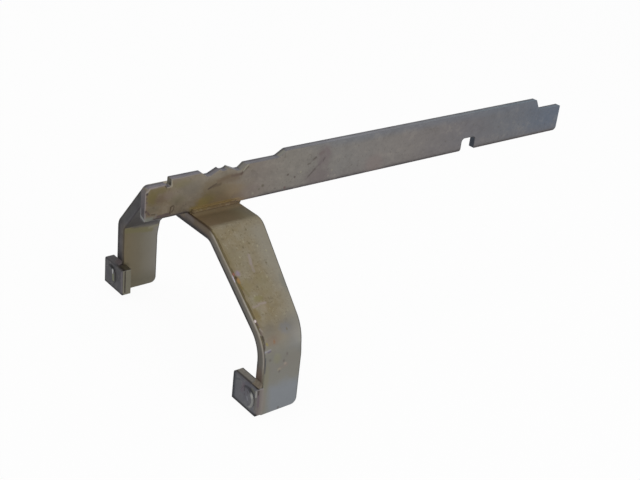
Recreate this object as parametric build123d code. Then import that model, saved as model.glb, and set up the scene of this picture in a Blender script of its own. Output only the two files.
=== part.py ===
from build123d import *
import os

# Transmission shift fork, in millimetres
# A blanked steel plate, the rail, stands on its long edge on a bent steel strap, the fork.
# The rail's notches take the detent. Its slot and its lower tang are at the far end from the fork.
# The strap's two legs straddle the synchroniser sleeve, and a pad on each leg runs in its groove.
# X runs along the rail from its fork end, Y across it and Z up from the rail's lower edge,
# so the origin is where the rail's fork end, its mid-plane and the strap's roof level meet.

# Rail plate
rail_length = 287.0
rail_thickness = 4.0
rail_height = 22.0
rail_edge_break = 0.25
notched_height = 19.1
notched_end = 74.4
ramp_run = 5.2
ramp_round = 3.0
tip_height = 16.8
tip_length = 13.6
tip_round = 2.8
relief_width = 2.5
relief_depth = 1.3
relief_round = 0.9
tang_height = 15.5
tang_length = 19.0
shoulder_run = 3.6
tang_round = 2.5
slot_start = 205.0
slot_width = 10.5
slot_depth = 7.3
slot_round = 2.0
slot_foot_round = 1.5

# Detent notches in the rail's upper edge
detent_centre = 42.8
detent_pitch = 8.6
side_notch_depth = 2.35
side_notch_floor = 2.0
steep_run = 3.0
gentle_run = 5.2
middle_notch_depth = 1.15
middle_notch_radius = 3.6
notch_round = 0.5

# Fork strap, bent from one strip and tapered towards its feet
strap_thickness = 6.4
strap_edge_round = 0.7
strap_start = 23.7
roof_width = 28.6
leg_width = 20.8
taper_z = 42.4
taper_round = 20.0
foot_round = 3.3
near_bend_y = 22.1
near_knee_z = 36.5
near_bend_radius = 12.0
near_knee_radius = 22.0
far_bend_y = 36.6
far_knee_z = 32.8
far_bend_radius = 12.0
far_knee_radius = 8.0
near_foot_z = 73.9
far_foot_z = 71.8

# Pads on the feet, the far one set across its leg
pad_gap = 102.4
pad_width = 18.8
pad_height = 15.0
pad_above_foot = 0.4
pad_thickness = 5.2
pad_seat_depth = 1.8
pad_corner_round = 0.8
pad_edge_break = 0.5
far_leg_inset = 6.8
boss_radius = 5.3
boss_height = 0.8
boss_rim = 0.6
boss_from_outer_end = 6.7
boss_from_bottom = 7.6

# Weld beads
rail_bead = 1.6
rail_bead_margin = 1.2
end_bead = 1.5
pad_bead = 2.0
pad_bead_hollow = 0.45

pad_inner_y = pad_gap / 2
pad_outer_y = pad_inner_y + pad_width
near_leg_y = pad_outer_y
far_leg_y = pad_outer_y - far_leg_inset
reach = 2 * pad_outer_y


def rail_outline():
    """The plate's side view, with the tip's relief, the shoulder, the tang and the slot."""
    slot_end = slot_start + slot_width
    tang_start = rail_length - tang_length
    ramp_end = notched_end + ramp_run
    relief_z = tip_height - relief_depth
    corners = [
        (0, 0, 0),
        (slot_start, 0, slot_foot_round),
        (slot_start, slot_depth, slot_round),
        (slot_end, slot_depth, slot_round),
        (slot_end, 0, notch_round),
        (rail_length, 0, tang_round),
        (rail_length, tang_height, 0),
        (tang_start, tang_height, notch_round),
        (tang_start - shoulder_run, rail_height, 0),
        (ramp_end, rail_height, ramp_round),
        (notched_end, notched_height, ramp_round),
        (tip_length, notched_height, notch_round),
        (tip_length, relief_z, relief_round),
        (tip_length - relief_width, relief_z, relief_round),
        (tip_length - relief_width, tip_height, 0),
        (0, tip_height, tip_round),
    ]
    points = [(x, z) for x, z, corner_round in corners]
    rounds = [corner_round for x, z, corner_round in corners]
    return make_face(FilletPolyline(*points, radius=rounds, close=True))


def side_notch(outward):
    """One side notch: a steep wall away from the middle notch, a gentle one towards it."""
    middle = detent_centre + outward * detent_pitch
    floor_z = notched_height - side_notch_depth
    steep = middle + outward * side_notch_floor / 2
    gentle = middle - outward * side_notch_floor / 2
    wall_rise = (rail_height - floor_z) / side_notch_depth
    return make_face(
        Polyline(
            (steep, floor_z),
            (steep + outward * steep_run * wall_rise, rail_height),
            (gentle - outward * gentle_run * wall_rise, rail_height),
            (gentle, floor_z),
            close=True,
        )
    )


def middle_notch():
    """The shallow round notch between the two side notches."""
    centre_z = notched_height - middle_notch_depth + middle_notch_radius
    return Pos(detent_centre, centre_z) * Circle(middle_notch_radius)


def shift_rail():
    """The rail: the outline with its notches, stood on edge and lightly rounded."""
    outline = rail_outline() - side_notch(-1) - side_notch(1) - middle_notch()
    plate = extrude(Plane.XZ * outline, amount=rail_thickness / 2, both=True)
    return chamfer(plate.faces().filter_by(Axis.Y).edges(), rail_edge_break)


def arch():
    """The bent strip seen along the rail: legs, knees, inclines and roof at one thickness."""
    outside = FilletPolyline(
        (-near_leg_y, -near_foot_z),
        (-near_leg_y, -near_knee_z),
        (-near_bend_y, 0),
        (far_bend_y, 0),
        (far_leg_y, -far_knee_z),
        (far_leg_y, -far_foot_z),
        radius=[near_knee_radius, near_bend_radius, far_bend_radius, far_knee_radius],
    )
    section = make_face(offset(outside, amount=strap_thickness, side=Side.RIGHT, closed=True))
    return Pos(strap_start, 0, 0) * extrude(Plane.YZ * section, amount=roof_width)


def blank(foot_z, outward):
    """The strip's width seen across the rail, for one side: it tapers down to the leg."""
    leg_end = strap_start + leg_width
    outline = FilletPolyline(
        (strap_start, 0),
        (strap_start, -foot_z),
        (leg_end, -foot_z),
        (leg_end, -taper_z),
        (strap_start + roof_width, 0),
        radius=[0, 0, foot_round, taper_round, 0],
        close=True,
    )
    return extrude(Plane.XZ * make_face(outline), amount=-outward * reach)


def fork_strap():
    """The fork: the arch cut to the tapered blank, its front and back edges rounded."""
    strap = arch() & (blank(near_foot_z, -1) + blank(far_foot_z, 1))
    front = strap.faces().sort_by(Axis.X)[0]
    back = strap.faces().filter_by(lambda face: face.normal_at().X > 0.5)
    above_feet = strap.faces().filter_by(lambda face: face.center().Z > foot_round - far_foot_z)
    skin = above_feet.filter_by(lambda face: abs(face.normal_at().X) < 0.01)
    return fillet(front.edges() + (back.edges() & skin.edges()), strap_edge_round)


def pad(strap, outer_y, foot_z, outward):
    """A pad let onto a leg's front edge, with its round boss towards the groove's wall."""
    front = strap_start + pad_seat_depth - pad_thickness
    bottom = pad_above_foot - foot_z
    inner_y = outer_y - outward * pad_width
    plate = Pos(
        front + pad_thickness / 2,
        (outer_y + inner_y) / 2,
        bottom + pad_height / 2,
    ) * Box(pad_thickness, pad_width, pad_height)
    plate = fillet(plate.edges().filter_by(Axis.X), pad_corner_round)
    plate = chamfer(plate.faces().sort_by(Axis.X)[0].edges(), pad_edge_break)
    boss_y = outer_y - outward * boss_from_outer_end
    boss_plane = Plane((front, boss_y, bottom + boss_from_bottom), z_dir=(-1, 0, 0))
    boss = extrude(boss_plane * Circle(boss_radius), amount=boss_height)
    boss = chamfer(boss.faces().sort_by(Axis.X)[0].edges(), boss_rim)
    return plate + boss - strap


def rail_weld(rail, outward):
    """A round-ended bead in the corner of the rail's side and the roof, filling its edge."""
    length = roof_width - 2 * rail_bead_margin
    wall_y = outward * rail_thickness / 2
    run = Rot(0, 90, 0) * Cylinder(rail_bead, length - 2 * rail_bead)
    start = Pos(rail_bead - length / 2, 0, 0) * Sphere(rail_bead)
    end = Pos(length / 2 - rail_bead, 0, 0) * Sphere(rail_bead)
    above_roof = Pos(0, 0, rail_bead) * Box(length, 2 * rail_bead, 2 * rail_bead)
    middle = strap_start + roof_width / 2
    bead = Pos(middle, wall_y, 0) * ((run + start + end) & above_roof)
    return bead - rail


def end_weld(strap):
    """The bead that turns under the rail at the roof's back edge."""
    corner = Pos(strap_start + roof_width, 0, 0)
    round_bar = Rot(90, 0, 0) * Cylinder(end_bead, rail_thickness - 2 * rail_edge_break)
    below_rail = Pos(0, 0, -end_bead) * Box(2 * end_bead, rail_thickness, 2 * end_bead)
    return corner * (round_bar & below_rail) - strap


def pad_weld(leg_y, foot_z, outward):
    """The hollow bead in the corner of a pad's top and its leg's front edge."""
    hollow_face = SagittaArc((0, pad_bead), (-pad_bead, 0), pad_bead_hollow)
    walls = Polyline((-pad_bead, 0), (0, 0), (0, pad_bead))
    section = make_face(hollow_face + walls)
    middle_y = leg_y - outward * strap_thickness / 2
    width = strap_thickness - 2 * strap_edge_round
    bead = extrude(Plane.XZ * section, amount=width / 2, both=True)
    pad_top = pad_above_foot + pad_height - foot_z
    return Pos(strap_start, middle_y, pad_top) * bead


rail_piece = shift_rail()
strap_piece = fork_strap()
parts = {
    "shift_rail": rail_piece,
    "fork_strap": strap_piece,
    "near_pad": pad(strap_piece, -pad_outer_y, near_foot_z, -1),
    "far_pad": pad(strap_piece, pad_outer_y, far_foot_z, 1),
    "near_rail_weld": rail_weld(rail_piece, -1),
    "far_rail_weld": rail_weld(rail_piece, 1),
    "end_rail_weld": end_weld(strap_piece),
    "near_pad_weld": pad_weld(-near_leg_y, near_foot_z, -1),
    "far_pad_weld": pad_weld(far_leg_y, far_foot_z, 1),
}

os.makedirs("parts", exist_ok=True)
for name, solid in parts.items():
    export_step(solid, f"parts/{name}.step")
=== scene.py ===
# %% [markdown]
# A gearbox shift fork, dressed for a studio picture. The real thing is a blanked steel plate, the
# rail, welded on edge to a bent steel strap, the fork. Its shapes come from the packed CAD model.
# This script adds what the model lacks: the worn, yellowed zinc skin of each piece, the marks of
# use, painted highlights and painted shade in those skins, the light, the floor and the camera.
# The first step loads the model and keeps the box that it fills.

# %% Load the packed model
import math

import bpy
import numpy as np
from mathutils import Matrix, Vector


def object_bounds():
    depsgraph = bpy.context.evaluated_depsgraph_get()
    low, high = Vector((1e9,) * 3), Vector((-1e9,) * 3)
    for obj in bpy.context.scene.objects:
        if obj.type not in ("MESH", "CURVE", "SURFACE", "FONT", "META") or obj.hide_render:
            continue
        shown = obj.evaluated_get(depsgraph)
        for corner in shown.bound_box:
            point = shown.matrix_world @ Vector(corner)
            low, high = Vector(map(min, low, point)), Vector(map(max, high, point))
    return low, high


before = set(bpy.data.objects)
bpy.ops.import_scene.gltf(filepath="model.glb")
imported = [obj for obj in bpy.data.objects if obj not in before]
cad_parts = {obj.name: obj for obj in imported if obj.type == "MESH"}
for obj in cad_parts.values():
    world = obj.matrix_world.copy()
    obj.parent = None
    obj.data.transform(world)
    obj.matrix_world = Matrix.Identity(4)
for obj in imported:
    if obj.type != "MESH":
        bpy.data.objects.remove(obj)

cad_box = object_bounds()
print("nodes:", sorted(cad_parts))
print("box in metres:", cad_box)

# %% [markdown]
# The camera stands in front of the fork's near leg and looks along the rail from above its fork
# end. A camera that looks at a point is easy to read: a place, a target and a roll about the line
# between them. The lens is long, as for a small product on a table, so the rail shrinks only a
# little with distance.

# %% Place the camera
CAMERA_PLACE = Vector((-0.24089, -0.39692, 0.22855))
CAMERA_TARGET = Vector((0.10929, 0.0, -0.03520))
CAMERA_ROLL = math.radians(6.617)
LENS_MM = 62.751


def camera_at(place, target, roll, lens):
    """Makes a camera at a place that looks at a target, rolled about its line of sight."""
    data = bpy.data.cameras.new("photo_camera")
    data.lens = lens
    data.sensor_width = 36.0
    data.clip_start = 0.01
    data.clip_end = 20.0
    camera = bpy.data.objects.new("photo_camera", data)
    bpy.context.scene.collection.objects.link(camera)
    level = (target - place).to_track_quat("-Z", "Y").to_matrix()
    turned = level @ Matrix.Rotation(roll, 3, "Z")
    camera.matrix_world = Matrix.Translation(place) @ turned.to_4x4()
    return camera


bpy.context.scene.view_settings.view_transform = "Standard"
bpy.context.scene.camera = camera_at(CAMERA_PLACE, CAMERA_TARGET, CAMERA_ROLL, LENS_MM)
print("camera distance:", round((CAMERA_TARGET - CAMERA_PLACE).length, 4), "m")

# %% [markdown]
# Every finish here is worked out from where a point lies on the object and which way it faces, so
# the maths is worth writing well. One way is to place each Math node by hand. Here a small class
# wraps one socket of a node tree instead, and its operators add the Math nodes, so that a mask
# reads as a sum. A second class holds one material and has one method that adds any other node.

# %% Write shader maths as Python
class Signal:
    """One socket of a node tree that can be added, multiplied and compared like a number."""

    def __init__(self, finish, socket):
        self.finish = finish
        self.socket = socket

    def math(self, operation, *others):
        sockets = {0: self, **dict(enumerate(others, 1))}
        return self.finish.node("ShaderNodeMath", {"operation": operation}, sockets)

    def __add__(self, other):
        return self.math("ADD", other)

    __radd__ = __add__

    def __sub__(self, other):
        return self.math("SUBTRACT", other)

    def __rsub__(self, other):
        return self.math("MULTIPLY_ADD", -1.0, other)

    def __mul__(self, other):
        return self.math("MULTIPLY", other)

    __rmul__ = __mul__

    def __abs__(self):
        return self.math("ABSOLUTE")

    def most(self, other):
        return self.math("MAXIMUM", other)

    def ramp(self, low, high):
        """0 at low and 1 at high, with a smooth rise between; low may be above high."""
        return self.finish.node(
            "ShaderNodeMapRange",
            {"interpolation_type": "SMOOTHSTEP"},
            {"Value": self, "From Min": low, "From Max": high},
        )

    def band(self, low, high, soft):
        """1 between low and high, and 0 outside them."""
        return self.ramp(low - soft, low) * self.ramp(high + soft, high)


print("operators:", [name for name in vars(Signal) if name.startswith("__r") or name == "__add__"])

# %% [markdown]
# A point's place is the Object coordinate, turned into millimetres because the marks were measured
# so. Its facing is the surface's own direction, which tells the rail's sides from its narrow top
# and finds the small broken edges, where plating wears off first. The facing also picks the faces
# and edges that get painted highlight or painted shade by the way they turn.
#
# A mark is a ragged ellipsoid: space is moved and shrunk until the mark is a ball of radius one,
# and a ramp on the distance from its middle gives the mask. A stroke is a line from one point to
# another, and its mask falls off with the distance from the nearest place on that line.
#
# All of this is plain vector maths, and each mask is used as soon as it is made. So a renderer
# that runs the nodes in order has only a few values in hand at a time. A Mapping node for each
# mark is the other way, but it keeps every moved place waiting and runs out of room.

# %% Hold one material
MM_PER_M = 1000.0


class Finish:
    """One material's node tree, with a point's place in millimetres and its facing as signals."""

    def __init__(self, name):
        self.material = bpy.data.materials.new(name)
        self.material.use_nodes = True
        self.tree = self.material.node_tree
        self.tree.nodes.clear()
        metres = self.node("ShaderNodeTexCoord", output="Object")
        self.place = self.vector("MULTIPLY", metres, (MM_PER_M, MM_PER_M, MM_PER_M))
        self.x, self.y, self.z = self.split(self.place)
        self.nx, self.ny, self.nz = self.split(self.node("ShaderNodeTexCoord", output="Normal"))
        self.rag = self.noise(1.4, detail=3.0, rough=0.65) - 0.5

    def node(self, kind, settings=None, inputs=None, output=0):
        """Adds a node of a kind: its settings first, then the values or signals of its sockets."""
        node = self.tree.nodes.new(kind)
        for key, value in (settings or {}).items():
            setattr(node, key, value)
        for key, value in (inputs or {}).items():
            socket = node.inputs[key]
            if isinstance(value, Signal):
                self.tree.links.new(value.socket, socket)
            else:
                socket.default_value = value
        return Signal(self, node.outputs[output]) if len(node.outputs) else None

    def split(self, vector):
        parts = self.node("ShaderNodeSeparateXYZ", inputs={0: vector}).socket.node.outputs
        return [Signal(self, parts[axis]) for axis in "XYZ"]

    def noise(self, size, detail=3.0, rough=0.55, stretch=(1, 1, 1), seed=0.0):
        """Cloudy noise with features of a size in millimetres, drawn out along X, Y and Z."""
        scale = tuple(1.0 / (size * factor) for factor in stretch)
        shift = (seed, 2.0 * seed, 3.0 * seed)
        moved = self.node(
            "ShaderNodeMapping",
            inputs={"Vector": self.place, "Location": shift, "Scale": scale},
        )
        return self.node(
            "ShaderNodeTexNoise",
            inputs={"Vector": moved, "Scale": 1.0, "Detail": detail, "Roughness": rough},
        )

    def along(self, signal, tones):
        """A colour that runs through tones, each held at its own value of the signal."""
        first, last = min(tones), max(tones)
        share = (signal - first) * (1.0 / (last - first))
        node = self.node("ShaderNodeValToRGB", inputs={"Fac": share})
        elements = node.socket.node.color_ramp.elements
        elements.remove(elements[-1])
        elements[0].color = tones[first]
        for value, colour in tones.items():
            if value != first:
                elements.new((value - first) / (last - first)).color = colour
        return node

    def vector(self, operation, *parts, output=0):
        """One step of vector maths."""
        inputs = dict(enumerate(parts))
        return self.node("ShaderNodeVectorMath", {"operation": operation}, inputs, output)

    def ragged_edge(self, reach, soft, ragged):
        """1 where a reach is below one and 0 above it, with a soft, ragged border."""
        return (reach + self.rag * ragged).ramp(1.0 + soft, 1.0 - soft)

    def mark(self, centre, radii, soft=0.5, ragged=0.8):
        """A ragged ellipsoid: 1 where |(place - centre) / radii| is below one."""
        shrink = tuple(1.0 / radius for radius in radii)
        shift = tuple(-middle / radius for middle, radius in zip(centre, radii))
        moved = self.vector("MULTIPLY_ADD", self.place, shrink, shift)
        return self.ragged_edge(self.vector("LENGTH", moved, output="Value"), soft, ragged)

    def stroke(self, start, end, width, soft=0.5, ragged=0.8):
        """A ragged line: 1 where |place - start - run * share| is below the width.

        The share is (place - start) . run / |run|^2, held between 0 and 1.
        """
        run = Vector(end) - Vector(start)
        from_start = self.vector("SUBTRACT", self.place, start)
        share_per_mm = tuple(run / run.length_squared)
        share = self.vector("DOT_PRODUCT", from_start, share_per_mm, output="Value")
        held = self.node("ShaderNodeClamp", inputs={"Value": share})
        inputs = {0: tuple(run), "Scale": held}
        nearest = self.node("ShaderNodeVectorMath", {"operation": "SCALE"}, inputs)
        gap = self.vector("LENGTH", self.vector("SUBTRACT", from_start, nearest), output="Value")
        return self.ragged_edge(gap * (1.0 / width), soft, ragged)

    def mix(self, factor, first, second):
        """Two colours mixed by a factor."""
        settings = {"data_type": "RGBA", "clamp_factor": True}
        return self.node("ShaderNodeMix", settings, {0: factor, 6: first, 7: second}, output=2)


def tone(red, green, blue):
    """A screen colour, 0 to 255 each, as the linear colour that a shader takes."""
    screen = np.array([red, green, blue]) / 255.0
    linear = np.where(screen <= 0.04045, screen / 12.92, ((screen + 0.055) / 1.055) ** 2.4)
    return (*linear.tolist(), 1.0)


print("mid grey as linear light:", [round(part, 3) for part in tone(128, 128, 128)])

# %% [markdown]
# Metal shows what it reflects, so the light comes before the finishes. The world is plain white
# for the camera, for reflections and through glass, and a softer white for the light that it
# casts. A large soft lamp from the front and a weaker one from above give the faces their
# different tones: the sides that face the camera are light, the narrow ends are darker.

# %% Light the studio
PURE_WHITE = (1.0, 1.0, 1.0, 1.0)


def white_world(cast_strength):
    """A world that shows as plain white and casts a softer light."""
    world = bpy.data.worlds.new("white_room")
    bpy.context.scene.world = world
    world.use_nodes = True
    tree = world.node_tree
    tree.nodes.clear()
    path = tree.nodes.new("ShaderNodeLightPath")
    strength = tree.nodes.new("ShaderNodeMapRange")
    strength.inputs["To Min"].default_value = cast_strength
    strength.inputs["To Max"].default_value = 1.0
    strength.inputs["Value"].default_value = 0.0
    seen = path.outputs["Is Camera Ray"]
    for name in ("Is Glossy Ray", "Is Transmission Ray"):
        either = tree.nodes.new("ShaderNodeMath")
        either.operation = "MAXIMUM"
        tree.links.new(seen, either.inputs[0])
        tree.links.new(path.outputs[name], either.inputs[1])
        seen = either.outputs[0]
    tree.links.new(seen, strength.inputs["Value"])
    background = tree.nodes.new("ShaderNodeBackground")
    background.inputs["Color"].default_value = PURE_WHITE
    tree.links.new(strength.outputs["Result"], background.inputs["Strength"])
    output = tree.nodes.new("ShaderNodeOutputWorld")
    tree.links.new(background.outputs[0], output.inputs["Surface"])


def soft_lamp(name, place, target, size, power):
    """A square area lamp at a place, facing a target; its size in metres, its power in watts."""
    data = bpy.data.lights.new(name, "AREA")
    data.shape = "SQUARE"
    data.size = size
    data.energy = power
    lamp = bpy.data.objects.new(name, data)
    bpy.context.scene.collection.objects.link(lamp)
    turned = (target - place).to_track_quat("-Z", "Y").to_matrix().to_4x4()
    lamp.matrix_world = Matrix.Translation(place) @ turned
    return lamp


MIDDLE = Vector((0.10, 0.0, -0.02))
white_world(cast_strength=0.5)
soft_lamp("front_lamp", Vector((0.3, -1.3, 0.33)), MIDDLE, size=0.8, power=7.0)
soft_lamp("top_lamp", Vector((-0.1, 0.2, 1.1)), MIDDLE, size=0.8, power=3.0)

# %% [markdown]
# The floor is one large pale sheet at the height of the fork's lowest foot. In the picture it
# should be as white as the world behind it, and still hold the object's shadow. More light would
# burn the metal out, so the sheet is mixed: where the camera or a reflection sees it, most of it
# is plain white paper that glows at strength one, and the rest is matt and takes the shadow.

# %% Lay the floor
MATT_WHITE = (0.9, 0.9, 0.9, 1.0)
WHITE_SHARE = 0.95
FLOOR_REACH_M = 3.0


def floor_sheet(height, reach):
    """A square of one face at a height, reaching as far each way."""
    corners = np.array([(-1, -1), (1, -1), (1, 1), (-1, 1)], dtype=float) * reach
    points = np.column_stack([corners, np.full(4, height)])
    mesh = bpy.data.meshes.new("floor")
    mesh.from_pydata(points.tolist(), [], [(0, 1, 2, 3)])
    sheet = bpy.data.objects.new("floor", mesh)
    bpy.context.scene.collection.objects.link(sheet)
    return sheet


def white_paper(white_share):
    """Matt white, with a share of plain white where it is seen and not where it lights."""
    finish = Finish("white_paper")
    light_path = finish.node("ShaderNodeLightPath").socket.node.outputs
    names = "Is Camera Ray", "Is Glossy Ray", "Is Transmission Ray"
    camera, glossy, through = (Signal(finish, light_path[name]) for name in names)
    matt = finish.node("ShaderNodeBsdfDiffuse", inputs={"Color": MATT_WHITE})
    plain = finish.node("ShaderNodeEmission", inputs={"Color": PURE_WHITE, "Strength": 1.0})
    seen = camera.most(glossy).most(through) * white_share
    sheet = finish.node("ShaderNodeMixShader", inputs={0: seen, 1: matt, 2: plain})
    finish.node("ShaderNodeOutputMaterial", inputs={"Surface": sheet})
    return finish.material


floor_height = cad_box[0][2]
floor = floor_sheet(floor_height, FLOOR_REACH_M)
floor.data.materials.append(white_paper(WHITE_SHARE))
print("floor at", floor_height)

# %% [markdown]
# The steel is zinc plated and passivated, which gives it an olive to straw tint that is never
# even. It has been welded, handled and greased, so the tint drifts between olive, brown, grey and
# blue. A coat holds the colour, the roughness and the height of one skin, and every stain, scuff
# and worn edge is laid over it in turn, like thin paint, and so are the painted highlights and
# painted shade. One shader at the end takes the three.

# %% Lay a skin in coats
LIGHT_CLOUD = tone(168, 160, 148)
DARK_CLOUD = tone(52, 46, 38)
PLATED_SPECULAR = 0.25


class Coat:
    """The colour, roughness and height of a surface, laid on in layers."""

    def __init__(self, finish, colour, rough, metal):
        self.finish = finish
        self.colour = colour
        self.rough = rough
        self.metal = metal
        self.height = finish.noise(0.9, detail=4.0, rough=0.65) * 0.5

    def lay(self, mask, colour, amount=1.0, rough=None, dent=0.0):
        """Lays a colour over what is there, where the mask is 1, and may press it in."""
        share = mask * amount
        self.colour = self.finish.mix(share, self.colour, colour)
        if rough is not None:
            self.rough = self.rough * (1.0 - share) + share * rough
        if dent:
            self.height = self.height - mask * dent

    def mottle(self, size, depth, seed, stretch=(1, 1, 1)):
        """Cloudy light and dark, as much as depth either way, with the sheen to match."""
        cloud = self.finish.noise(size, detail=4.0, rough=0.6, stretch=stretch, seed=seed)
        self.lay(cloud.ramp(0.5, 0.75), LIGHT_CLOUD, depth)
        self.lay(cloud.ramp(0.5, 0.25), DARK_CLOUD, depth)
        self.rough = self.rough + (cloud - 0.5) * 0.25

    def specks(self, size, seed, colour, amount, level=0.66):
        """Small scattered spots of a colour."""
        spots = self.finish.noise(size, detail=1.0, rough=0.4, seed=seed).ramp(level, level + 0.06)
        self.lay(spots, colour, amount)

    def finished(self, relief=0.04):
        """The shader that ends the finish, with its relief in millimetres."""
        finish = self.finish
        inputs = {"Height": self.height, "Distance": relief / MM_PER_M}
        bump = finish.node("ShaderNodeBump", inputs=inputs)
        shader = finish.node(
            "ShaderNodeBsdfPrincipled",
            inputs={
                "Base Color": self.colour,
                "Roughness": self.rough,
                "Metallic": self.metal,
                "Specular IOR Level": PLATED_SPECULAR,
                "Normal": bump,
            },
        )
        finish.node("ShaderNodeOutputMaterial", inputs={"Surface": shader})
        return finish.material


print("a coat can:", [name for name in vars(Coat) if not name.startswith("_")])

# %% [markdown]
# The rail first. Its near side runs from olive at the fork end through a warm grey to a cold
# grey-blue at the tang. The weld's heat has tinted it straw and brown above the roof, a brown
# streak runs under the right-hand notch, and grease has left purplish stains and dark scratches a
# third of the way along.
#
# The marks are lists of places on the plate in millimetres: X along the rail, Z up from its lower
# edge. A wash is a wide soft tint, a stroke runs between two points and a dot is small and round.
# The numbers before a colour are a place, a size and, for a stroke, its other end and its width.
# The number after it is how strongly the mark is laid. The strokes on the rail's end are painted
# highlights on its edges, placed by Y and Z, and some strokes on the side are painted highlights
# along the fork end's edges too.

# %% List the rail's marks
RAIL_ALONG = {
    0: tone(110, 97, 76),
    12: tone(118, 105, 83),
    20: tone(124, 114, 97),
    30: tone(126, 118, 104),
    45: tone(120, 111, 95),
    56: tone(118, 109, 97),
    66: tone(119, 111, 103),
    82: tone(121, 116, 108),
    112: tone(118, 115, 111),
    160: tone(118, 113, 109),
    184: tone(109, 105, 105),
    208: tone(104, 102, 105),
    232: tone(101, 102, 106),
    256: tone(94, 99, 108),
    280: tone(88, 97, 111),
}
RAIL_TOP_ALONG = {
    0: tone(100, 95, 104),
    40: tone(92, 90, 98),
    90: tone(92, 92, 98),
    118: tone(112, 113, 120),
    150: tone(95, 96, 102),
    198: tone(92, 98, 106),
    230: tone(74, 87, 97),
    270: tone(60, 79, 95),
}
RAIL_END_UP = {
    2: tone(64, 60, 64),
    8: tone(72, 66, 73),
    12: tone(82, 76, 81),
    15: tone(100, 95, 96),
}
RAIL_WASHES = [
    (41, 3.0, 13, 6.5, tone(122, 104, 72), 0.9),
    (46, 6.0, 9, 6.0, tone(119, 103, 80), 0.6),
    (51.5, 2.0, 4, 3.0, tone(106, 91, 74), 0.8),
    (27.5, 1.0, 3.6, 2.0, tone(124, 109, 56), 0.85),
    (31.5, 3.2, 3.4, 2.8, tone(124, 109, 54), 0.85),
    (35.0, 6.0, 3.4, 3.2, tone(120, 107, 64), 0.85),
    (36.5, 10.6, 7, 4.0, tone(111, 98, 74), 0.7),
    (41.0, 8.8, 6, 3.4, tone(111, 98, 74), 0.6),
    (46.5, 13.6, 6, 2.2, tone(104, 89, 70), 0.8),
    (42.5, 0.6, 13, 1.6, tone(120, 96, 60), 0.9),
    (38.5, 2.0, 13.5, 0.5, tone(136, 116, 72), 0.65),
    (59, 4.0, 6, 4.0, tone(114, 102, 96), 0.5),
    (3.6, 11.6, 3.0, 3.6, tone(102, 91, 46), 0.85),
    (7.6, 14.6, 4.0, 1.6, tone(104, 94, 56), 0.7),
    (20, 15.5, 5, 2.0, tone(114, 107, 78), 0.7),
    (8.6, 10.2, 3.4, 1.9, tone(104, 87, 68), 0.7),
    (12.5, 11.0, 2.5, 2.0, tone(119, 106, 94), 0.6),
    (4.8, 5.6, 3.0, 1.6, tone(104, 98, 78), 0.5),
    (18, 8.0, 4, 2.4, tone(112, 106, 82), 0.5),
    (24.5, 12.5, 5.5, 3.6, tone(112, 106, 94), 0.6),
    (104, 14.5, 4.5, 6.0, tone(108, 98, 97), 0.7),
    (101, 4.5, 8, 4.5, tone(104, 94, 93), 0.7),
    (139, 4.5, 6, 5.0, tone(120, 108, 104), 0.6),
]
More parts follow.
